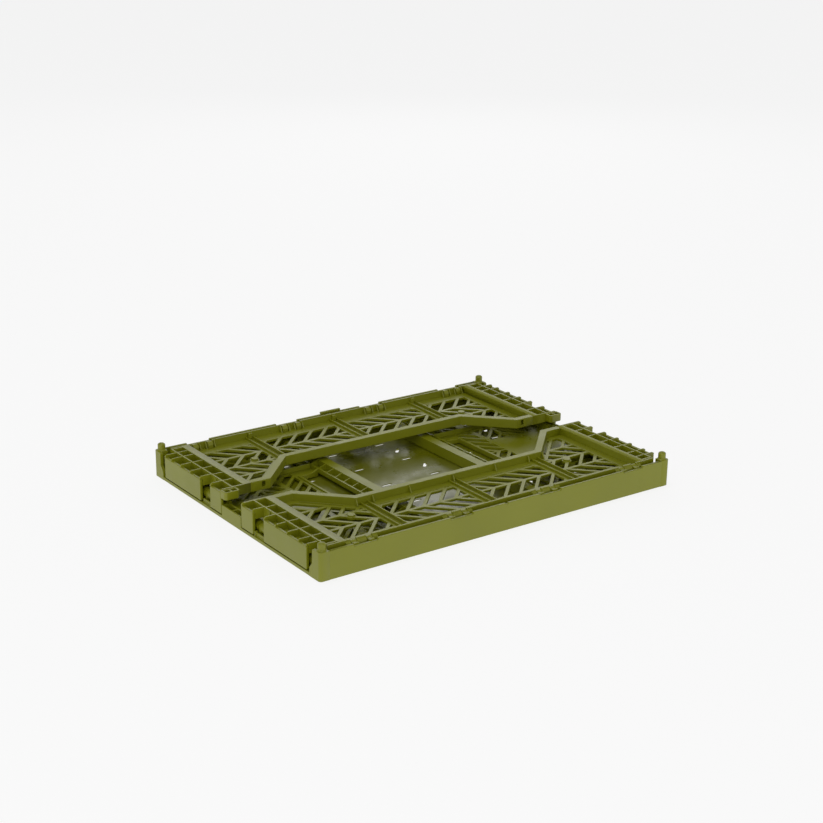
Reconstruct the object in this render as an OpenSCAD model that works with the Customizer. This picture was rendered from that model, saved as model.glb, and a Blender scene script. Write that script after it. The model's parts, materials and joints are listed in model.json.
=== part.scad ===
// Collapsible storage crate, lying folded flat.
// Base frame on the ground, two end walls folded onto its floor, two long walls folded over the end walls.
// Origin at the centre of the footprint on the ground, X along the crate, Z up.

/* [Crate] */
// Length of the footprint
crate_l = 400; // [399:0.5:401]
// Width of the footprint
crate_w = 300; // [299:0.5:301]
// Height of the base skirt
skirt_h = 26.5; // [26:0.5:27]
// Height of the standing walls above the ground
erect_h = 145; // [144.5:0.5:145.5]
// Thickness of the skirt, the ledges and the end plates
skin = 3; // [2.8:0.1:3.2]
// Thickness of the perforated wall panels
web = 2.4; // [2:0.2:2.8]
// Height of the floor's upper face above the ground
floor_top = 3; // [2.8:0.1:3.2]

/* [Folding] */
// Angle that both long walls are raised by
long_wall_lift = 0; // [0:5:90]
// Angle that both end walls are raised by, once the long walls stand at 90
end_wall_lift = 0; // [0:5:90]

/* [Long walls] */
// Distance of a long wall's hinge axis from the crate's middle
long_axis_y = 140.5; // [140.4:0.1:140.6]
// Height of the long walls' hinge axes
long_axis_z = 23; // [22.9:0.1:23.1]
// Half of the straight high stretch's start along the wall
rim_high_x = 147; // [146:0.5:148]
// Depth of the dip in the middle of the rim
rim_dip = 41.5; // [40:0.5:42]
// Width of the rim band
rim_band = 7; // [6.5:0.25:7.5]
// Spacing of the diagonal strips along the wall
strip_pitch = 18.2; // [17.8:0.1:18.6]
// Width of a diagonal strip
strip_w = 3.4; // [3:0.2:3.8]

/* [End walls] */
// Distance of an end wall's hinge axis from the crate's middle
end_axis_x = 190.5; // [190.4:0.1:190.6]
// Height of the end walls' hinge axes
end_axis_z = 9.7; // [9.6:0.1:9.8]
// Half of an end wall's width
end_half_w = 135; // [134.5:0.25:135.2]
// Half of the hand hole's width at its lower edge
hand_half_w = 48; // [46:1:50]

/* [Hinges and stacking] */
// Radius of the hinge pins
pin_r = 2; // [1.9:0.05:2.1]
// Radial clearance of the hinge pins
pin_play = 0.06; // [0.04:0.01:0.08]
// Radius of the stacking pins
stack_r = 3.7; // [3.6:0.05:3.75]
// Radial clearance of the sockets under the corners
stack_play = 0.1; // [0.08:0.01:0.12]

/* [Hidden] */
$fn = 40;

olive = [0.42, 0.43, 0.12];
olive_base = [0.45, 0.46, 0.16];
olive_end = [0.38, 0.39, 0.10];
cut = 1;                                  // how far a cutting tool runs past a face

// Base
half_l = crate_l / 2;
half_w = crate_w / 2;
corner_r = 3;
floor_t = 1.8;
floor_under = floor_top - floor_t;
slot_lip_t = 0.8;                         // the floor is this thin round its slots
post_leg_low = 17;                        // how far a post wraps round the end below the jog
post_leg_high = 12.4;                     // and above it
post_jog_z0 = 8;                          // the jog slopes between these heights
post_jog_z1 = 13.5;
post_long_leg = 10;
stack_inset = 5.2;
stack_z0 = skirt_h;
stack_foot_h = 1;
stack_shaft_h = 4.5;
stack_dome_h = 2;
socket_depth = 8.5;
pad_l = 9.5;                              // the solid pad under each stacking pin
foot_l = 12.6;                            // the pad's wider foot, level with the floor
sill_half_w = 17.5;
sill_h = 13.5;
sill_t = 9;
curb_y0 = 40.2;
curb_y1 = 56.6;
curb_h = 3.4;
rib_t = 1.6;

// Both kinds of wall, seen in a flat frame: X along the wall, Y up the wall from its hinge axis,
// Z towards the outer face
face_t = 4.8;                             // outer face above the hinge axis
back_t = -4.7;                            // inner face below it
knuckle_r = 4.7;
ear_clear_h = 5.2;                        // the wall keeps this far from the axis beside an ear

// Long wall
long_h = erect_h - long_axis_z;
rim_mid_h = long_h - rim_dip;
rim_low_x = rim_high_x - rim_dip;
col_in_x = 168;                           // inner edge of an end column
col_band_x = 175.8;
col_rib_x = 188;
rail_x = 187;                             // end of the hinge rail
lip_h = 0.9;                              // the hinge rail's upper edge
rail_low = -1.1;                          // and its lower one, as the wall stands
long_knuckle_r = 3.7;
end_lip_h = 2;
col_low_h = 2;
col_outer_low_h = 11.8;                   // the outer pockets clear the stacking pins below here
row_pitch = 24;                           // spacing of the spines up the wall
spine_h0 = 38.5;
spine_t = 3.6;
window_h0 = 16;
chevron_x = 128;                          // a chevron's tip in the outer fields
chevron_in_x = 95;                        // and in the inner fields
divider_x = [-99.8, 0, 99.8];            // grooves between the herringbone fields
divider_gap = 6.4;
divider_rib_t = 1.3;
divider_rise = 2.2;
long_ears_x = [-153, -51, 51, 153];
long_ear_t = 5.5;
long_ear_gap = 10.5;
ear_play = 0.5;
plate_top = face_t - 2.7;                 // upper edge of the end plates
notch_h0 = long_axis_y - 57.9;
notch_h1 = long_axis_y - 38.9;
plate_drop_z = 4;                         // height of the folded end plate's lower edge
cross_rib_y = [20.6, 38.9, 57.9, 77.5, 96.6, 115.6, 127.8];
lug_h = 9;
lug_l = 15.5;
lug_step = 1.4;                           // the lug's inner face stands back from the wall's

// End wall
end_h = erect_h - end_axis_z - 0.8;       // the end walls end just below the long ones
end_band = 9.8;
band_back_t = back_t - 1.1;               // the band and the collar reach a little further in
pocket_rib_h = end_h - 17.3;              // the rib between the grip pockets and the hand hole
pocket_rib_t = face_t - 2.9;
pocket_pitch = 14.7;
hand_h1 = pocket_rib_h - rib_t;
hand_h0 = end_h - 39.2;
frame_t = 2.6;
collar_t = -0.8;
end_pitch = 15.1;
end_ears_x = [-110, -48.4, 48.4, 110];
end_ear_t = 4;
end_ear_gap = 9;
sill_clear = sill_half_w + 0.8;           // the end wall is open round the sill
latch_rise = 1.2;
latch_h = 103;
edge_t = 2.5;

function reversed(list) = [for (i = [len(list) - 1:-1:0]) list[i]];

// Points of an arc
function arc(c, r, a0, a1, n = 8) =
    [for (i = [0:n]) let (a = a0 + (a1 - a0) * i / n) [c[0] + r * cos(a), c[1] + r * sin(a)]];

// The rim's outline, moved in from the wall's upper edge by d
function rim_line(d, x_end) = let (k = d * (sqrt(2) - 1)) [
    [x_end, long_h - d], [rim_high_x + k, long_h - d], [rim_low_x + k, rim_mid_h - d],
    [-rim_low_x - k, rim_mid_h - d], [-rim_high_x - k, long_h - d], [-x_end, long_h - d]
];

module both() {
    children();
    mirror([1, 0, 0]) children();
}

module four_corners() {
    for (sx = [-1, 1], sy = [-1, 1])
        scale([sx, sy, 1])
            children();
}

// A plain block between two corners
module block(lo, hi) {
    translate(lo)
        cube(hi - lo);
}

// ---------------------------------------------------------------- base

// One slot through the floor with round ends, lying at angle a, grown by grow on each side
module floor_slot(x, y, a, grow) {
    length = 12 + 2 * grow;
    width = 3.2 + 2 * grow;
    translate([x, y])
        rotate(a) {
            square([length - width, width], center = true);
            for (s = [-1, 1])
                translate([s * (length - width) / 2, 0])
                    circle(d = width, $fn = 24);
        }
}

// Straight slots all over the floor, slanted ones only right of its centre
module floor_slots(grow = 0) {
    cell_x = 57;
    cell_y = 48;
    straight_x = 26;
    slanted_x = 31.5;
    for (i = [-3:3], j = [-2:2]) {
        x = i * cell_x;
        y = j * cell_y;
        if (abs(x + straight_x) < 168)
            floor_slot(x + straight_x, y - 4, 0, grow);
        if (i >= 0 && x + slanted_x < 168 && abs(y + 20) < 124)
            floor_slot(x + slanted_x, y + 20, 48, grow);
    }
}

module base_floor() {
    color(olive_base)
        translate([0, 0, floor_under])
            difference() {
                block([-half_l + skin, -half_w + skin, 0], [half_l - skin, half_w - skin, floor_t]);
                translate([0, 0, -cut])
                    linear_extrude(floor_t + 2 * cut)
                        floor_slots();
                translate([0, 0, -cut])
                    linear_extrude(floor_t - slot_lip_t + cut)
                        floor_slots(1.5);
                four_corners()
                    block([half_l - foot_l, half_w - foot_l, -cut], [half_l, half_w, floor_t + cut]);
            }
}

// Low ribs under the floor, on which the crate also stands
module floor_ribs() {
    color(olive_base)
        difference() {
            union() {
                for (y = [-125, -75, -25, 25, 75, 125])
                    block([-185, y - rib_t / 2, 0], [185, y + rib_t / 2, floor_under]);
                for (x = [-185, -128, -71, -14, 43, 100, 157, 185])
                    block([x - rib_t / 2, -125, 0], [x + rib_t / 2, 125, floor_under]);
            }
            translate([0, 0, -cut])
                linear_extrude(floor_under + 2 * cut)
                    floor_slots(1.5);
        }
}

// Skirt along the front, between the corner posts, lower beside each hinge
module long_skirt() {
    difference() {
        block([-half_l + post_long_leg, -half_w, 0], [half_l - post_long_leg, -half_w + skin, skirt_h]);
        for (x = long_ears_x)
            skirt_notch(x, 12.5, 1.8);
    }
}

// Notch of half width w and depth d in the skirt's upper edge
module skirt_notch(x, w, d) {
    block([x - w, -half_w - cut, skirt_h - d], [x + w, -half_w + skin + cut, skirt_h + cut]);
}

module skirt_front() {
    color(olive_base)
        difference() {
            long_skirt();
            skirt_notch(0, 1.5, 1);
        }
}

module skirt_back() {
    color(olive_base)
        mirror([0, 1, 0])
            long_skirt();
}

// A raised tab on the back skirt
module skirt_tab() {
    tab_h = 2.6;
    color(olive_base)
        block([-10, half_w - skin, skirt_h], [14, half_w, skirt_h + tab_h]);
}

// Plan of one corner post
module post_plan() {
    outer = arc([half_l - corner_r, half_w - corner_r], corner_r, 0, 90);
    polygon(concat(
        [[half_l, half_w - pad_l]],
        outer,
        [[half_l - post_long_leg, half_w], [half_l - post_long_leg, half_w - skin],
         [half_l - skin, half_w - skin], [half_l - skin, half_w - pad_l]]
    ));
    intersection() {
        translate([half_l - pad_l, half_w - pad_l])
            square(pad_l);
        polygon(concat([[0, 0], [half_l, 0]], outer, [[0, half_w]]));
    }
}

// The post's leg round the end of the crate, seen from the end: longer below a sloping jog
module post_leg() {
    chamfer = 1.2;
    translate([half_l - skin, 0, 0])
        rotate([90, 0, 90])
            linear_extrude(skin)
                polygon([
                    [half_w - pad_l + cut, 0], [half_w - post_leg_low, 0],
                    [half_w - post_leg_low, post_jog_z0], [half_w - post_leg_high, post_jog_z1],
                    [half_w - post_leg_high, skirt_h - chamfer], [half_w - post_leg_high + chamfer, skirt_h],
                    [half_w - pad_l + cut, skirt_h]
                ]);
}

module corner_posts() {
    color(olive_base)
        four_corners()
            difference() {
                union() {
                    linear_extrude(skirt_h)
                        post_plan();
                    post_leg();
                    block([half_l - foot_l, half_w - foot_l, floor_under],
                          [half_l - skin, half_w - skin, floor_top]);
                }
                translate([half_l - stack_inset, half_w - stack_inset, -cut])
                    cylinder(r = stack_r + stack_play, h = socket_depth + cut);
            }
}

// Domed pins on the corners
module stacking_pins() {
    color(olive_base)
        four_corners()
            translate([half_l - stack_inset, half_w - stack_inset, stack_z0]) {
                cylinder(r1 = stack_r + 1.2, r2 = stack_r, h = stack_foot_h);
                translate([0, 0, stack_foot_h])
                    cylinder(r = stack_r, h = stack_shaft_h);
                translate([0, 0, stack_foot_h + stack_shaft_h])
                    rotate_extrude()
                        polygon(concat([[0, 0]], [for (i = [0:8]) let (a = i * 90 / 8)
                            [stack_r * cos(a), stack_dome_h * sin(a)]]));
            }
}

// Ledge along one end, with the low sill in its middle
module end_sill() {
    block([-half_l, -half_w + post_leg_low, 0], [-half_l + skin, half_w - post_leg_low, floor_top]);
    difference() {
        block([-half_l, -sill_half_w, floor_top], [-half_l + sill_t, sill_half_w, sill_h]);
        for (s = [-1, 1])
            block([-half_l + 1.8, s * 8.4 - 7.4, sill_h - 7],
                  [-half_l + sill_t - 1.6, s * 8.4 + 7.4, sill_h + cut]);
    }
    // low curb with turned ends in each latch notch
    for (s = [0, 1])
        mirror([0, s, 0]) {
            block([-half_l + 2.2, curb_y0, floor_top], [-half_l + 3.8, curb_y1, floor_top + curb_h]);
            block([-half_l + 0.8, curb_y0, floor_top],
                  [-half_l + 3.8, curb_y0 + 1.4, floor_top + curb_h + 1.6]);
        }
}

module end_sill_left() {
    color(olive_base)
        end_sill();
}

module end_sill_right() {
    color(olive_base)
        mirror([1, 0, 0])
            end_sill();
}

// One upright ear with its pin bore, in the plane of the hinge: reach back to the skirt, axis at z = rise,
// and a shoulder that stands above the axis behind it
module ear(thick, r, rise, reach, front, shoulder) {
    rotate([90, 0, 90])
        translate([0, 0, -thick / 2])
            linear_extrude(thick)
                difference() {
                    union() {
                        translate([-reach, -rise])
                            square([reach + front, rise]);
                        translate([-reach, -rise])
                            square([reach, rise + shoulder]);
                        circle(r = r);
                    }
                    circle(r = pin_r + pin_play);
                }
}

module ear_pair(thick, gap, r, rise, reach, front, shoulder) {
    for (s = [-1, 1])
        translate([s * (gap + thick) / 2, 0, 0])
            ear(thick, r, rise, reach, front, shoulder);
}

module long_hinge_ears() {
    rise = long_axis_z - floor_top;
    reach = half_w - skin - long_axis_y;
    color(olive_base)
        for (side = [0, 180], x = long_ears_x)
            rotate(side)
                translate([x, -long_axis_y, long_axis_z])
                    ear_pair(long_ear_t, long_ear_gap, long_knuckle_r, rise, reach, long_knuckle_r, 2.6);
}

module end_hinge_ears() {
    rise = end_axis_z - floor_top;
    color(olive_base)
        for (side = [-90, 90], x = end_ears_x)
            rotate(side)
                translate([x, -end_axis_x, end_axis_z])
                    ear_pair(end_ear_t, end_ear_gap, 4.4, rise, 4.4, 4.2, 0);
}

// ---------------------------------------------------------------- shared by the walls

// Section of a hinge rail: a round back about the axis and a straight lip that is lip high
module rail_section(lip) {
    polygon(concat(
        [[lip, back_t], [lip, face_t], [0, face_t]],
        arc([0, 0], knuckle_r, 90, 270, 16),
        [[0, back_t]]
    ));
}

// Its children as a hinge rail: open beside each ear, with the pins running through the gaps
module hinge_run(ears_x, ear_t, ear_gap) {
    slot_w = ear_t + 2 * ear_play;
    bite = 0.9;                           // how far a pin's ends run into the knuckles
    difference() {
        union()
            children();
        for (x = ears_x, s = [-1, 1])
            translate([x + s * (ear_gap + ear_t) / 2, 0, 0])
                cube([slot_w, 4 * knuckle_r, 4 * knuckle_r], center = true);
    }
    for (x = ears_x, s = [-1, 1])
        translate([x + s * (ear_gap + ear_t) / 2 - slot_w / 2 - bite, 0, 0])
            rotate([0, 90, 0])
                cylinder(r = pin_r, h = slot_w + 2 * bite);
}

// Clearance beside each ear for what lies next to the rail
module ear_gaps(ears_x, ear_t, ear_gap) {
    slot_w = ear_t + 2 * ear_play;
    for (x = ears_x, s = [-1, 1])
        translate([x + s * (ear_gap + ear_t) / 2 - slot_w / 2, 0])
            square([slot_w, ear_clear_h]);
}

// Diagonal strip from (x, h) to (x + dx, h + dh), cut off level at both ends
module strip(x, h, dx, dh) {
    a = strip_w / sqrt(2);
    polygon([[x - a, h], [x + a, h], [x + dx + a, h + dh], [x + dx - a, h + dh]]);
}

// Zigzag strips and spines of a herringbone field, its tips at x0 and every pitch, arms towards dir
module herringbone(x0, dir, first, last, pitch) {
    for (k = [first:last]) {
        x = x0 + k * pitch;
        strip(x, spine_h0, dir * row_pitch, -row_pitch);
        strip(x, spine_h0, dir * row_pitch, row_pitch);
        strip(x + dir * row_pitch, spine_h0 + row_pitch, -dir * row_pitch, row_pitch);
        strip(x, spine_h0 + 2 * row_pitch, dir * row_pitch, row_pitch);
    }
    for (i = [0:3])
        translate([0, spine_h0 + i * row_pitch - spine_t / 2])
            square([200, spine_t]);
}

// ---------------------------------------------------------------- long walls

// Upright flange along the hinge axis, with knuckles beside the ears
module long_rail() {
    knuckle_l = long_ear_gap + 2 * long_ear_t + 11;
    hinge_run(long_ears_x, long_ear_t, long_ear_gap) {
        block([-rail_x, rail_low, back_t], [rail_x, lip_h, face_t]);
        rotate([90, 0, 90])
            for (x = long_ears_x)
                translate([0, 0, x - knuckle_l / 2])
                    linear_extrude(knuckle_l)
                        intersection() {
                            circle(r = long_knuckle_r);
                            translate([lip_h - crate_w, -half_w])
                                square(crate_w);
                        }
    }
}

// Cut-outs of one half of a long wall
module long_windows() {
    margin = 6.5;
    k = (rim_band + margin) * (sqrt(2) - 1);
    top = long_h - rim_band - margin;
    mid = rim_mid_h - rim_band - margin;
    difference() {
        polygon([[107, window_h0], [159, window_h0], [159, top], [rim_high_x + k, top], [rim_low_x + k, mid],
                 [107, mid]]);
        herringbone(chevron_x, 1, -4, 2, strip_pitch);
        translate([125.5, 55.5])
            circle(r = 4.6);
    }
    difference() {
        translate([8, window_h0])
            square([84, mid - window_h0 - 2]);
        herringbone(chevron_in_x, -1, -5, 1, strip_pitch);
    }
    diagonal_slot();
}

// Thin slot along the slope of the rim
module diagonal_slot() {
    d0 = rim_band + 1.2;
    d1 = rim_band + 3.2;
    k0 = d0 * (sqrt(2) - 1);
    k1 = d1 * (sqrt(2) - 1);
    s0 = 4;
    s1 = 33;
    polygon([
        [rim_high_x + k0 - s0, long_h - d0 - s0], [rim_high_x + k0 - s1, long_h - d0 - s1],
        [rim_high_x + k1 - s1, long_h - d1 - s1], [rim_high_x + k1 - s0, long_h - d1 - s0]
    ]);
}

module long_panel() {
    difference() {
        translate([0, 0, back_t])
            linear_extrude(web)
                difference() {
                    polygon(concat(
                        [[-col_in_x, lip_h], [col_in_x, lip_h]],
                        rim_line(rim_band, col_in_x)
                    ));
                    both()
                        long_windows();
                    ear_gaps(long_ears_x, long_ear_t, long_ear_gap);
                }
        for (x = divider_x)
            block([x - divider_gap / 2, lip_h + 4, back_t + web / 2],
                  [x + divider_gap / 2, rim_mid_h - rim_band - 3, 0]);
    }
    for (s = [-1, 1])
        translate([s * 125.5, 55.5, back_t])
            cylinder(r = 3.6, h = web + 1.6);
}

// Rim band, hollow from behind
module long_rim() {
    wall = 1.8;
    roof = 2.4;
    slot_x = 152.5;
    difference() {
        translate([0, 0, back_t])
            linear_extrude(face_t - back_t)
                polygon(concat(rim_line(0, col_in_x), reversed(rim_line(rim_band, col_in_x))));
        translate([0, 0, back_t - cut])
            linear_extrude(face_t - back_t - roof + cut)
                polygon(concat(
                    rim_line(wall, col_in_x - wall),
                    reversed(rim_line(rim_band - wall, col_in_x - wall))
                ));
        both()
            block([slot_x, long_h - wall - cut, -2], [slot_x + 3.6, long_h + cut, 3.2]);
    }
}

// Stiffening ribs: a pair beside each field, buttresses behind the lip and gussets under the rim
module long_ribs() {
    h0 = back_t + web;
    rise = face_t - h0 - 0.6;
    run = 4.5;
    rim_in = rim_mid_h - rim_band;
    offset_x = (divider_gap + divider_rib_t) / 2;
    for (x = divider_x, s = [-1, 1])
        block([x + s * offset_x - divider_rib_t / 2, lip_h, h0],
              [x + s * offset_x + divider_rib_t / 2, rim_in, h0 + divider_rise]);
    for (x = divider_x)
        block([x - 2.2, lip_h, h0], [x + 2.2, lip_h + 2.6, face_t - 1]);
    for (x = [-109, -91, -50, 0, 50, 91, 109])
        gusset(x, rim_in, -run, h0, rise);
    for (c = long_ears_x, s = [-12.8, -3.2, 3.2, 12.8])
        gusset(c + s, lip_h, run, h0, rise);
}

// Triangular gusset standing on the web against a face at h, running run up the wall
module gusset(x, h, run, h0, rise) {
    t = 1.2;
    translate([x + t / 2, h, h0])
        rotate([90, 0, -90])
            linear_extrude(t)
                scale([run < 0 ? 1 : -1, 1])
                    polygon([[0, 0], [abs(run), 0], [0.8, rise], [0, rise]]);
}

// Pocketed column at one end of a long wall
module long_column() {
    wall = 1.8;
    roof = 2.4;
    t0 = back_t + web;
    outer_x = half_l - skin;
    rib_hs = [for (y = cross_rib_y) long_axis_y - y];
    // inner band, hollow from behind
    difference() {
        block([col_in_x, lip_h, back_t], [col_band_x, long_h, face_t]);
        block([col_in_x + wall, lip_h + wall, back_t - cut],
              [col_band_x - wall, long_h - wall, face_t - roof]);
    }
    // pocket floors
    block([col_band_x, col_low_h, back_t], [col_rib_x, long_h, t0]);
    block([col_rib_x, col_outer_low_h, back_t], [outer_x, notch_h0, t0]);
    block([col_rib_x, notch_h1, back_t], [outer_x, long_h, t0]);
    // long rib between the two rows
    block([col_rib_x - rib_t, col_low_h, t0], [col_rib_x, long_h, face_t]);
    // closing walls at the rim and at the hinge
    block([col_band_x, long_h - wall, t0], [col_rib_x - rib_t, long_h, face_t]);
    outer_rib(long_h - wall, wall, face_t);
    block([col_band_x, col_low_h, t0], [col_rib_x - rib_t, col_low_h + wall, face_t]);
    // stiffener on the long rib, seen in the notch
    block([col_rib_x, (notch_h0 + notch_h1) / 2 - 2.2, back_t + 1],
          [col_rib_x + 1.2, (notch_h0 + notch_h1) / 2 + 2.2, face_t - 1.2]);
    // cross ribs
    for (h = rib_hs)
        if (h > col_outer_low_h - 1)
            block([col_band_x, h - rib_t / 2, t0], [col_rib_x - rib_t, h + rib_t / 2, face_t - 0.4]);
    for (h = rib_hs)
        if (h > col_outer_low_h - 1 && h < notch_h0 - 1)
            outer_rib(h - rib_t / 2, rib_t, face_t - 0.4);
    outer_rib(notch_h0 - rib_t, rib_t, face_t);
    outer_rib(notch_h1, rib_t, face_t);
}

// Cross rib of the outer pocket row, rounded where it comes down on the lower end plate
module outer_rib(h, thick, top) {
    outer_x = half_l - skin;
    r = top - plate_top - 0.2;
    translate([0, h + thick, 0])
        rotate([90, 0, 0])
            linear_extrude(thick)
                polygon(concat(
                    [[col_rib_x - 0.1, back_t + web], [outer_x, back_t + web], [outer_x, plate_top]],
                    [[half_l, plate_top]],
                    arc([half_l - r, top - r], r, 0, 90),
                    [[col_rib_x - 0.1, top]]
                ));
}

// End plates: a long one beside the post and a short one beside the sill, with the latch notch between
module long_plate() {
    low = plate_drop_z - long_axis_z;
    x0 = half_l - skin;
    block([x0, col_outer_low_h, low], [half_l, notch_h0, plate_top]);
    block([x0, notch_h1, low], [half_l, long_h, plate_top]);
}

// Stacking lug beyond the rim, pocketed from its outer face
module long_lug() {
    wall = 1.8;
    x1 = half_l;
    x0 = x1 - lug_l;
    difference() {
        translate([0, 0, lug_step])
            linear_extrude(face_t - back_t - lug_step - 0.4)
                polygon(concat(
                    [[x0, long_h], [x1, long_h], [x1, long_h + lug_h - 3]],
                    arc([x1 - 3, long_h + lug_h - 3], 3, 0, 90, 6),
                    arc([x0 + 3, long_h + lug_h - 3], 3, 90, 180, 6)
                ));
        for (x = [x0 + wall, (x0 + x1) / 2 + 0.7])
            block([x, long_h + wall, face_t - back_t - 6],
                  [x + (x1 - x0) / 2 - wall - 0.7, long_h + lug_h - wall, 20]);
    }
}

module place_long(side) {
    rotate(side)
        translate([0, -long_axis_y, long_axis_z])
            rotate([long_wall_lift, 0, 0])
                children();
}

module long_columns() {
    both()
        long_column();
}

module long_plates() {
    both()
        long_plate();
}

module long_lugs() {
    both()
        translate([0, 0, back_t])
            long_lug();
}

module front_wall_rail() { color(olive) place_long(0) long_rail(); }
module front_wall_panel() { color(olive) place_long(0) long_panel(); }
module front_wall_rim() { color(olive) place_long(0) long_rim(); }
module front_wall_columns() { color(olive) place_long(0) long_columns(); }
module front_wall_end_plates() { color(olive) place_long(0) long_plates(); }
module front_wall_ribs() { color(olive) place_long(0) long_ribs(); }
module back_wall_rail() { color(olive) place_long(180) long_rail(); }
module back_wall_panel() { color(olive) place_long(180) long_panel(); }
module back_wall_rim() { color(olive) place_long(180) long_rim(); }
module back_wall_columns() { color(olive) place_long(180) long_columns(); }
module back_wall_end_plates() { color(olive) place_long(180) long_plates(); }
module back_wall_lugs() { color(olive) place_long(180) long_lugs(); }
module back_wall_ribs() { color(olive) place_long(180) long_ribs(); }

// ---------------------------------------------------------------- end walls

end_rail_x = end_half_w - edge_t;

module end_rail() {
    difference() {
        hinge_run(end_ears_x, end_ear_t, end_ear_gap)
            rotate([90, 0, 90])
                translate([0, 0, -end_rail_x])
                    linear_extrude(2 * end_rail_x)
                        rail_section(end_lip_h);
        cube([2 * sill_clear, 20, 20], center = true);
    }
}

// Hand hole, a little wider towards the rim
module hand_hole(grow) {
    low_x = hand_half_w + grow;
    high_x = low_x + 2;
    polygon([
        [-low_x, hand_h0 - grow], [low_x, hand_h0 - grow],
        [high_x, hand_h1 + grow], [-high_x, hand_h1 + grow]
    ]);
}

// Cut-outs of one half of an end wall
module end_windows() {
    row0 = 9;
    rows = 3;
    difference() {
        union() {
            translate([1, hand_h0 - 23])
                square([61, 18]);
            translate([30, row0 + 5])
                square([92, rows * row_pitch - 16]);
            translate([68, row0 + rows * row_pitch - 6])
                square([54, 37]);
        }
        translate([0, -17.5])
            herringbone(3.3, 1, -3, 8, end_pitch);
        translate([0, hand_h0 - 23 - 5.5])
            square([66, 5.5]);
        translate([62, row0])
            square([6, 100]);
    }
    for (x = [10, 22])
        translate([x, 32])
            circle(r = 1.6);
}

module end_panel() {
    translate([0, 0, back_t])
        linear_extrude(web)
            difference() {
                translate([-end_rail_x, end_lip_h])
                    square([2 * end_rail_x, end_h - end_band - end_lip_h]);
                hand_hole(frame_t);
                both()
                    end_windows();
                ear_gaps(end_ears_x, end_ear_t, end_ear_gap);
                translate([-sill_clear, 0])
                    square([2 * sill_clear, ear_clear_h]);
            }
}

// Section through an end wall, standing across it at x, thick wide: X of the polygon is up the wall
module end_slice(x, thick) {
    translate([x - thick / 2, 0, 0])
        rotate([90, 0, 90])
            linear_extrude(thick)
                children();
}

// Rim band with the pockets under it, whose walls slope down to the rib above the hand hole
module end_rim() {
    wall = 1.8;
    roof = 2.4;
    t0 = back_t + web;
    band_h = end_h - end_band;
    difference() {
        block([-end_half_w, band_h, band_back_t], [end_half_w, end_h, face_t]);
        block([-end_half_w + wall, band_h + wall, band_back_t - cut],
              [end_half_w - wall, end_h - wall, face_t - roof]);
    }
    block([-end_rail_x, pocket_rib_h - rib_t, t0], [end_rail_x, pocket_rib_h, pocket_rib_t]);
    for (i = [-9:8])
        end_slice((i + 0.5) * pocket_pitch, 1.2)
            polygon([[pocket_rib_h, t0], [band_h, t0], [band_h, face_t - 0.4],
                     [pocket_rib_h, pocket_rib_t]]);
}

// Collar round the hand hole, rising to the rib above it
module end_hand_frame() {
    ramp_h = pocket_rib_h - 9;
    top_h = pocket_rib_h - rib_t;
    intersection() {
        translate([0, 0, band_back_t - cut])
            linear_extrude(face_t - band_back_t)
                difference() {
                    intersection() {
                        hand_hole(frame_t);
                        translate([-half_w, 0])
                            square([crate_w, top_h]);
                    }
                    hand_hole(0);
                }
        end_slice(0, crate_w)
            polygon([[hand_h0 - 10, band_back_t], [top_h, band_back_t], [top_h, pocket_rib_t],
                     [ramp_h, collar_t], [hand_h0 - 10, collar_t]]);
    }
}

// Side edges and upright ribs of an end wall
module end_edges() {
    t0 = back_t + web;
    both() {
        block([end_rail_x, end_lip_h, back_t], [end_half_w, end_h - end_band, face_t]);
        block([64.2, end_lip_h, t0], [64.2 + rib_t, pocket_rib_h - rib_t, face_t - 2]);
    }
}

// Latch bumps that click into the notches of the long walls' end plates
module end_latches() {
    len = 15;
    both()
        difference() {
            block([end_half_w - 12, latch_h - len / 2, face_t - 2.5],
                  [end_half_w - edge_t, latch_h + len / 2, face_t + latch_rise]);
            translate([end_half_w - 13, latch_h - len / 2, face_t + latch_rise])
                rotate([0, 90, 0])
                    rotate(45)
                        cube([1.6, 1.6, 40], center = true);
        }
    both()
        block([end_half_w - 12, latch_h - 5, back_t + web],
              [end_half_w - edge_t, latch_h + 5, face_t - 2.5]);
}

module place_end(side) {
    rotate(side)
        translate([0, -end_axis_x, end_axis_z])
            rotate([end_wall_lift, 0, 0])
                children();
}

module left_wall_rail() { color(olive_end) place_end(-90) end_rail(); }
module left_wall_panel() { color(olive_end) place_end(-90) end_panel(); }
module left_wall_rim() { color(olive_end) place_end(-90) end_rim(); }
module left_wall_hand_frame() { color(olive_end) place_end(-90) end_hand_frame(); }
module left_wall_edges() { color(olive_end) place_end(-90) end_edges(); }
module left_wall_latches() { color(olive_end) place_end(-90) end_latches(); }
module right_wall_rail() { color(olive_end) place_end(90) end_rail(); }
module right_wall_panel() { color(olive_end) place_end(90) end_panel(); }
module right_wall_rim() { color(olive_end) place_end(90) end_rim(); }
module right_wall_hand_frame() { color(olive_end) place_end(90) end_hand_frame(); }
module right_wall_edges() { color(olive_end) place_end(90) end_edges(); }
module right_wall_latches() { color(olive_end) place_end(90) end_latches(); }

base_floor();
floor_ribs();
skirt_front();
skirt_back();
corner_posts();
stacking_pins();
end_sill_left();
end_sill_right();
long_hinge_ears();
end_hinge_ears();
skirt_tab();
front_wall_rail();
front_wall_panel();
front_wall_rim();
front_wall_columns();
front_wall_end_plates();
front_wall_ribs();
back_wall_rail();
back_wall_panel();
back_wall_rim();
back_wall_columns();
back_wall_end_plates();
back_wall_lugs();
back_wall_ribs();
left_wall_rail();
left_wall_panel();
left_wall_rim();
left_wall_hand_frame();
left_wall_edges();
left_wall_latches();
right_wall_rail();
right_wall_panel();
right_wall_rim();
right_wall_hand_frame();
right_wall_edges();
right_wall_latches();
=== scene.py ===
import json
import math

import bpy
from mathutils import Matrix, Vector

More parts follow.
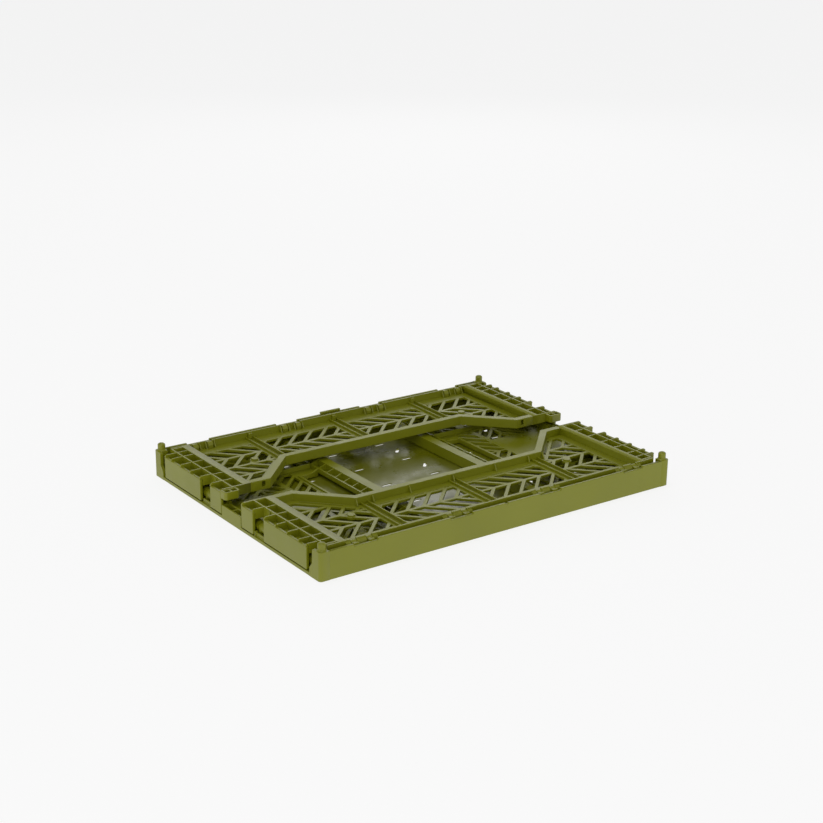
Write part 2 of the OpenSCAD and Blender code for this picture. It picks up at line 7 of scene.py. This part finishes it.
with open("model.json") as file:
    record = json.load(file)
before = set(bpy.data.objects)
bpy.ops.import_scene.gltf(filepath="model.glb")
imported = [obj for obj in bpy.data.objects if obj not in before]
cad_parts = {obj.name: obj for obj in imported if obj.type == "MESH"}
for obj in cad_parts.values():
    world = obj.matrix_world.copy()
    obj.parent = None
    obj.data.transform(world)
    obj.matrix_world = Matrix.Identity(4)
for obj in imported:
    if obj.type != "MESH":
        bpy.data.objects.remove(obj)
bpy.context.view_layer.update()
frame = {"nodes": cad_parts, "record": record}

# Camera: turn and height of the view round the crate, its lean, its distance from the origin, and how far
# it stands off the line through the origin, to the right and up
CAMERA_TURN, CAMERA_RISE, CAMERA_LEAN = (math.radians(a) for a in (-35.681, 19.024, 0.685))
CAMERA_DISTANCE, CAMERA_RIGHT, CAMERA_UP = 1.583469, 0.000708, 0.066572
CAMERA_LENS = 70.99

# Brightness of the surroundings by height: 0 at the horizon, 1 straight up
SKY = ((0.001, 1.0), (0.3, 0.95), (0.5, 0.35), (0.999, 0.25))
# Lamps: name, place, width, power
LAMPS = (
    ("key", (-1.3, -1.6, 1.9), 1.4, 14),
    ("top", (-0.3, 0.2, 2.6), 1.0, 10),
    ("back", (1.3, 1.7, 1.1), 1.3, 4.5),
)
# What the floor gives back of the light on it, and its own soft glow, as on a lit table
FLOOR_WHITE, FLOOR_GLOW = 0.17, 0.825
# The floor is a wide disk this far under the crate's feet
FLOOR_RADIUS, FLOOR_DROP = 40, 0.0002

# Pigment of the olive plastic; the floor's darker copy is painted shade for the floor lying low in the crate
OLIVE_LOW, OLIVE_HIGH = (0.179, 0.189, 0.002), (0.201, 0.211, 0.0026)
FLOOR_SHADED_OLIVE_LOW, FLOOR_SHADED_OLIVE_HIGH = (0.11, 0.115, 0.0018), (0.155, 0.16, 0.003)
# The least and the greatest roughness of each plastic, and how much of the fine grain it shows
BASE_ROUGH, WALL_ROUGH, FLOOR_ROUGH = (0.4, 0.48), (0.38, 0.46), (0.22, 0.5)
GRAIN, FLOOR_GRAIN = 0.25, 0.15
# Noise scales, in features per metre, and the depths in metres of what is bumped
CLOUD_SCALE, GLOSS_SCALE = 14, 55
STREAK_STRETCH, STREAK_FROM, STREAK_TO, STREAK_SHARE = (45, 900, 900), 0.66, 0.74, 0.1
WAVE_SCALE, WAVE_STRENGTH, WAVE_DEPTH = 38, 0.25, 0.0006
GRAIN_SCALE, GRAIN_DEPTH = 2600, 0.00006
PATCH_SCALE, PATCH_FROM, PATCH_TO = 26, 0.38, 0.62
SWELL_SCALE, SWELL_STRENGTH, SWELL_DEPTH = 20, 0.4, 0.0012
# The skirts sink slightly before each hinge ear: hinge spacing, and the ears' place and width beside it
HINGE_SPACING, EAR_OFFSET, EAR_WIDTH = 0.102, 0.008, 0.0055
SINK_STRENGTH, SINK_DEPTH = 0.35, 0.00025
# Where two regions of one moulding meet flush, as distances from the middle along the crate
FLUSH_SEAMS = (0.190, 0.168)
SEAM_REACH = 0.00005
# Edges sharper than this are rounded off, and faces that meet at less than the other count as flat
SHARP_ANGLE, FLAT_ANGLE = math.radians(30), math.radians(1)
WELD_GAP = 0.00001
# How far the edges are rounded, by a word of the node's name: broad rims and posts more than ribs
BEVELS = {
    "skirt": 0.0007,
    "posts": 0.0008,
    "pins": 0.0006,
    "rim": 0.0006,
    "plates": 0.0006,
    "columns": 0.0005,
}
BEVEL_ELSEWHERE = 0.0004

NODES = frame["nodes"]


def make_camera():
    back = Vector((math.sin(CAMERA_TURN) * math.cos(CAMERA_RISE),
                   -math.cos(CAMERA_TURN) * math.cos(CAMERA_RISE),
                   math.sin(CAMERA_RISE)))
    level_right = (-back).cross(Vector((0, 0, 1))).normalized()
    level_up = level_right.cross(-back)
    right = math.cos(CAMERA_LEAN) * level_right + math.sin(CAMERA_LEAN) * level_up
    up = math.cos(CAMERA_LEAN) * level_up - math.sin(CAMERA_LEAN) * level_right
    data = bpy.data.cameras.new("camera")
    data.lens = CAMERA_LENS
    data.sensor_width = 36
    data.clip_start = 0.05
    data.clip_end = 200
    camera = bpy.data.objects.new("camera", data)
    bpy.context.scene.collection.objects.link(camera)
    turned = Matrix((right, up, back)).transposed().to_4x4()
    stand = back * CAMERA_DISTANCE + right * CAMERA_RIGHT + up * CAMERA_UP
    camera.matrix_world = Matrix.Translation(stand) @ turned
    bpy.context.scene.camera = camera


class Shader:
    """A material's node tree, with short ways to add to it."""

    def __init__(self, name):
        self.material = bpy.data.materials.new(name)
        self.material.use_nodes = True
        self.tree = self.material.node_tree
        self.surface = self.tree.nodes["Principled BSDF"]
        self.place = self.add("ShaderNodeTexCoord").outputs["Object"]

    def add(self, kind):
        return self.tree.nodes.new(kind)

    def link(self, source, target):
        self.tree.links.new(source, target)

    def stretched(self, scale):
        mapping = self.add("ShaderNodeMapping")
        mapping.inputs["Scale"].default_value = scale
        self.link(self.place, mapping.inputs["Vector"])
        return mapping.outputs["Vector"]

    def noise(self, scale, detail=2.0, roughness=0.5, place=None):
        node = self.add("ShaderNodeTexNoise")
        node.inputs["Scale"].default_value = scale
        node.inputs["Detail"].default_value = detail
        node.inputs["Roughness"].default_value = roughness
        self.link(place or self.place, node.inputs["Vector"])
        return node.outputs["Fac"]

    def remap(self, source, low, high, from_low=0.3, from_high=0.7):
        node = self.add("ShaderNodeMapRange")
        node.inputs["From Min"].default_value = from_low
        node.inputs["From Max"].default_value = from_high
        node.inputs["To Min"].default_value = low
        node.inputs["To Max"].default_value = high
        self.link(source, node.inputs["Value"])
        return node.outputs["Result"]

    def ramp(self, source, low, high):
        node = self.add("ShaderNodeValToRGB")
        node.color_ramp.elements[0].position = 0.3
        node.color_ramp.elements[0].color = (*low, 1)
        node.color_ramp.elements[1].position = 0.7
        node.color_ramp.elements[1].color = (*high, 1)
        self.link(source, node.inputs["Fac"])
        return node.outputs["Color"]

    def math(self, operation, first, second=0.0):
        node = self.add("ShaderNodeMath")
        node.operation = operation
        self.link(first, node.inputs[0])
        node.inputs[1].default_value = second
        return node.outputs[0]

    def sum(self, first, second, share):
        node = self.add("ShaderNodeMath")
        node.operation = "MULTIPLY_ADD"
        self.link(second, node.inputs[0])
        node.inputs[1].default_value = share
        self.link(first, node.inputs[2])
        return node.outputs[0]

    def bump(self, height, strength, distance, under=None):
        node = self.add("ShaderNodeBump")
        node.inputs["Strength"].default_value = strength
        node.inputs["Distance"].default_value = distance
        self.link(height, node.inputs["Height"])
        if under is not None:
            self.link(under, node.inputs["Normal"])
        return node.outputs["Normal"]


def moulded(name, low, high, rough, grain):
    """Moulded plastic: cloudy pigment, uneven sheen, fine grain, slow waves and a few rubbed streaks."""
    s = Shader(name)
    s.link(s.ramp(s.noise(CLOUD_SCALE, 3), low, high), s.surface.inputs["Base Color"])
    if rough is not None:
        streaks = s.remap(s.noise(1, 2, place=s.stretched(STREAK_STRETCH)), 0, 1, STREAK_FROM, STREAK_TO)
        uneven = s.remap(s.noise(GLOSS_SCALE, 4), *rough)
        s.link(s.sum(uneven, streaks, STREAK_SHARE), s.surface.inputs["Roughness"])
    s.surface.inputs["IOR"].default_value = 1.5
    waves = s.bump(s.noise(WAVE_SCALE, 1), WAVE_STRENGTH, WAVE_DEPTH)
    s.fine = s.bump(s.noise(GRAIN_SCALE, 2, 0.6), grain, GRAIN_DEPTH, waves)
    s.link(s.fine, s.surface.inputs["Normal"])
    return s


def skirt_plastic():
    """The skirts' outer faces show faint sink marks in front of the hinge ears."""
    s = moulded("skirt_plastic", OLIVE_LOW, OLIVE_HIGH, BASE_ROUGH, GRAIN)
    split = s.add("ShaderNodeSeparateXYZ")
    s.link(s.place, split.inputs["Vector"])
    along = s.math("PINGPONG", split.outputs["X"], HINGE_SPACING / 2)
    from_ear = s.math("ABSOLUTE", s.math("SUBTRACT", along, HINGE_SPACING / 2 - EAR_OFFSET))
    sink = s.bump(s.remap(from_ear, 0, 1, 0, EAR_WIDTH), SINK_STRENGTH, SINK_DEPTH, s.fine)
    s.link(sink, s.surface.inputs["Normal"])
    return s.material


def floor_plastic():
    """The base's floor is smoother than the rest, shines in patches, and its darker pigment is painted
    shade.
    """
    s = moulded("floor_plastic", FLOOR_SHADED_OLIVE_LOW, FLOOR_SHADED_OLIVE_HIGH, None, FLOOR_GRAIN)
    patches = s.remap(s.noise(PATCH_SCALE, 3, 0.6), *FLOOR_ROUGH, PATCH_FROM, PATCH_TO)
    s.link(patches, s.surface.inputs["Roughness"])
    swell = s.bump(s.noise(SWELL_SCALE, 2), SWELL_STRENGTH, SWELL_DEPTH, s.fine)
    s.link(swell, s.surface.inputs["Normal"])
    return s.material


def bevel_weights():
    """A node group that marks the sharp edges to round off, and leaves out those on the flush seams."""
    group = bpy.data.node_groups.new("sharp_edges", "GeometryNodeTree")
    group.interface.new_socket("Geometry", in_out="INPUT", socket_type="NodeSocketGeometry")
    group.interface.new_socket("Geometry", in_out="OUTPUT", socket_type="NodeSocketGeometry")
    add, link = group.nodes.new, group.links.new

    def math_node(operation, first, second):
        node = add("ShaderNodeMath")
        node.operation = operation
        for socket, value in zip(node.inputs, (first, second)):
            if isinstance(value, float):
                socket.default_value = value
            elif value is not None:
                link(value, socket)
        return node.outputs[0]

    angle = add("GeometryNodeInputMeshEdgeAngle").outputs["Unsigned Angle"]
    chosen = math_node("GREATER_THAN", angle, SHARP_ANGLE)
    split = add("ShaderNodeSeparateXYZ")
    link(add("GeometryNodeInputPosition").outputs[0], split.inputs[0])
    along = math_node("ABSOLUTE", split.outputs["X"], None)
    for seam in FLUSH_SEAMS:
        away = math_node("ABSOLUTE", math_node("SUBTRACT", along, seam), None)
        chosen = math_node("MULTIPLY", chosen, math_node("GREATER_THAN", away, SEAM_REACH))
    store = add("GeometryNodeStoreNamedAttribute")
    store.data_type = "FLOAT"
    store.domain = "EDGE"
    store.inputs["Name"].default_value = "bevel_weight_edge"
    link(chosen, store.inputs["Value"])
    link(add("NodeGroupInput").outputs[0], store.inputs["Geometry"])
    link(store.outputs["Geometry"], add("NodeGroupOutput").inputs[0])
    return group


def dress(name, material, bevel):
    """Give a CAD node its material and round off its sharp edges."""
    node = NODES[name]
    node.data.materials.clear()
    node.data.materials.append(material)
    weld = node.modifiers.new("weld", "WELD")
    weld.merge_threshold = WELD_GAP
    flat = node.modifiers.new("flat", "DECIMATE")
    flat.decimate_type = "DISSOLVE"
    flat.angle_limit = FLAT_ANGLE
    node.modifiers.new("sharp", "NODES").node_group = SHARP_EDGES
    edge = node.modifiers.new("edge", "BEVEL")
    edge.width = bevel
    edge.segments = 2
    edge.limit_method = "WEIGHT"
    edge.use_clamp_overlap = True
    smooth = node.modifiers.new("smooth", "WEIGHTED_NORMAL")
    smooth.keep_sharp = False
    for polygon in node.data.polygons:
        polygon.use_smooth = True


def make_stage():
    under = (0, 0, -FLOOR_DROP)
    bpy.ops.mesh.primitive_circle_add(vertices=96, radius=FLOOR_RADIUS, fill_type="NGON", location=under)
    floor = bpy.context.object
    floor.name = "floor"
    s = Shader("pale_floor")
    s.surface.inputs["Base Color"].default_value = (FLOOR_WHITE, FLOOR_WHITE, FLOOR_WHITE, 1)
    s.surface.inputs["Roughness"].default_value = 0.9
    s.surface.inputs["Specular IOR Level"].default_value = 0.0
    s.surface.inputs["Emission Color"].default_value = (1, 1, 1, 1)
    s.surface.inputs["Emission Strength"].default_value = FLOOR_GLOW
    floor.data.materials.append(s.material)


def make_light():
    """A bright ring of soft light low all round, dimmer overhead, and soft lamps in front, above, behind."""
    world = bpy.data.worlds.new("studio")
    world.use_nodes = True
    tree = world.node_tree
    background = tree.nodes["Background"]
    place = tree.nodes.new("ShaderNodeTexCoord")
    split = tree.nodes.new("ShaderNodeSeparateXYZ")
    ramp = tree.nodes.new("ShaderNodeValToRGB")
    tree.links.new(place.outputs["Generated"], split.inputs["Vector"])
    tree.links.new(split.outputs["Z"], ramp.inputs["Fac"])
    tree.links.new(ramp.outputs["Color"], background.inputs["Color"])
    elements = ramp.color_ramp.elements
    for at, level in SKY:
        element = elements.new(at)
        element.color = (level, level, level, 1)
    elements.remove(elements[0])
    elements.remove(elements[-1])
    background.inputs["Strength"].default_value = 1.0
    bpy.context.scene.world = world
    for name, place, size, power in LAMPS:
        data = bpy.data.lights.new(name, "AREA")
        data.shape = "DISK"
        data.size = size
        data.energy = power
        lamp = bpy.data.objects.new(name, data)
        lamp.location = place
        lamp.rotation_mode = "QUATERNION"
        lamp.rotation_quaternion = Vector(place).to_track_quat("Z", "Y")
        bpy.context.scene.collection.objects.link(lamp)
    bpy.context.scene.view_settings.view_transform = "Standard"


make_camera()
make_stage()
make_light()
SHARP_EDGES = bevel_weights()
base_plastic = moulded("base_plastic", OLIVE_LOW, OLIVE_HIGH, BASE_ROUGH, GRAIN).material
wall_plastic = moulded("wall_plastic", OLIVE_LOW, OLIVE_HIGH, WALL_ROUGH, GRAIN).material
materials = dict.fromkeys(frame["record"]["behaviour"]["bodies"]["base"], base_plastic)
materials["base_floor"] = floor_plastic()
materials["skirt_front"] = materials["skirt_back"] = skirt_plastic()
for node_name in sorted(NODES):
    words = node_name.split("_")
    width = next((BEVELS[word] for word in BEVELS if word in words), BEVEL_ELSEWHERE)
    dress(node_name, materials.get(node_name, wall_plastic), width)
